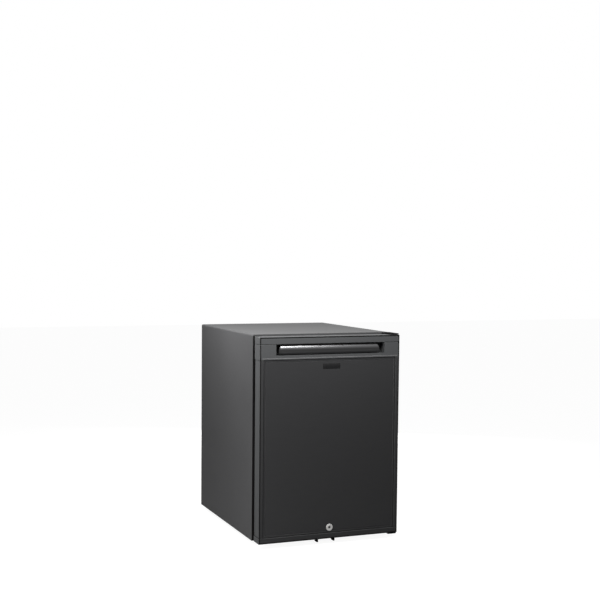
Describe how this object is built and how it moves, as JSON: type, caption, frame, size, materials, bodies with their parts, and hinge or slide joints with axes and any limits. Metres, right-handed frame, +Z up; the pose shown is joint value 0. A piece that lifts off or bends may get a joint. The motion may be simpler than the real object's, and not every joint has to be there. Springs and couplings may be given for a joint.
{
  "type": "minibar fridge",
  "caption": "Free-standing minibar fridge with a lockable right-hinged door, bar handle, wire shelves, door racks and an absorption cooling unit at the back.",
  "frame": {"origin": "on the floor, under the middle of the fridge", "axes": "+Z up, door faces -Y, +X to the right of someone who faces the door"},
  "size_m": [0.402, 0.512, 0.56],
  "materials": {
    "cabinet_paint": "satin",
    "panel_paint": "satin",
    "door_plastic": "satin",
    "black_plastic": "satin",
    "white_plastic": "satin",
    "frosted_plastic": "satin",
    "black_rubber": "matte",
    "satin_chrome": "satin",
    "coated_wire": "gloss",
    "bare_aluminium": "satin",
    "zinc_steel": "satin",
    "black_steel": "satin",
    "insulation": "matte"
  },
  "bodies": {
    "cabinet": {"outer_wrap": "cabinet_paint", "base_panel": "cabinet_paint", "rear_panel": "zinc_steel", "insulation_foam": "insulation", "inner_liner": "white_plastic", "shelf_lower": "coated_wire", "shelf_upper": "coated_wire", "evaporator_fins": "bare_aluminium", "control_box": "white_plastic", "lamp_cover": "frosted_plastic", "foot_front_left": "black_rubber", "foot_front_right": "black_rubber", "foot_rear_left": "black_rubber", "foot_rear_right": "black_rubber", "hinge_bracket_top": "black_steel", "hinge_bracket_bottom": "black_steel", "hinge_pin_top": "zinc_steel", "hinge_pin_bottom": "zinc_steel", "lock_strike": "black_steel", "unit_strap_lower": "zinc_steel", "unit_strap_upper": "zinc_steel", "boiler_casing": "zinc_steel", "condenser": "black_steel", "absorber_vessel": "black_steel", "absorber_coil": "black_steel", "gas_pipe": "black_steel", "rectifier_pipe": "black_steel", "liquid_pipe": "black_steel", "solution_pipe": "black_steel", "electrical_box": "black_plastic", "power_inlet": "black_plastic"},
    "door": {"door_panel": "panel_paint", "side_profile_left": "door_plastic", "side_profile_right": "door_plastic", "door_top_cap": "door_plastic", "door_bottom_cap": "door_plastic", "hinge_bush_top": "black_plastic", "hinge_bush_bottom": "black_plastic", "handle_trim": "door_plastic", "handle_bar": "satin_chrome", "door_foam": "insulation", "door_liner": "white_plastic", "rack_bottom": "white_plastic", "rack_middle": "white_plastic", "rack_top": "white_plastic", "door_seal": "black_rubber", "lock_barrel": "satin_chrome"},
    "lock_core": {"lock_plug": "satin_chrome", "lock_cam": "zinc_steel"},
    "thermostat_knob": {"thermostat_dial": "white_plastic"}
  },
  "joints": [
    {"name": "door_hinge", "type": "hinge", "parent": "cabinet", "child": "door", "pos_m": [0.187, -0.234, 0.0156], "axis": [0, 0, 1], "range_deg": [0, 120]},
    {"name": "lock_turn", "type": "hinge", "parent": "door", "child": "lock_core", "pos_m": [0, -0.2112, 0.0457], "axis": [0, 1, 0], "range_deg": [0, 90]},
    {"name": "thermostat_turn", "type": "hinge", "parent": "cabinet", "child": "thermostat_knob", "pos_m": [0.1427, -0.048, 0.49], "axis": [0, 1, 0], "range_deg": [0, 270]}
  ]
}
